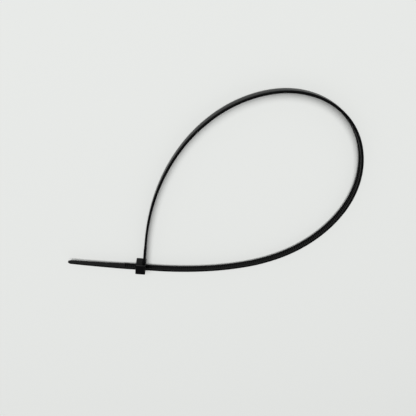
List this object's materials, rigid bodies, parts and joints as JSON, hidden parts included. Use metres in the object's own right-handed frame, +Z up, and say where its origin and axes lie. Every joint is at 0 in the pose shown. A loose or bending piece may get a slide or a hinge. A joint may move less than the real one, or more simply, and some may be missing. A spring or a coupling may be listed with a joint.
{
  "type": "cable tie",
  "caption": "Black nylon cable tie closed into a large loop: toothed strap threaded through its own ratchet head, tapered tail free.",
  "frame": {"origin": "middle of the side of the head that lies on the table", "axes": "+Z up; the loop lies in the XY plane on the +X side of the head; X runs along the head's slot with the tail towards -X, Y runs along the neck, Z runs across the strap's width"},
  "size_m": [0.1419, 0.1087, 0.0062],
  "materials": {
    "black_nylon": "satin black moulded nylon"
  },
  "bodies": {
    "root": {"cable_tie": "black_nylon"}
  },
  "joints": []
}
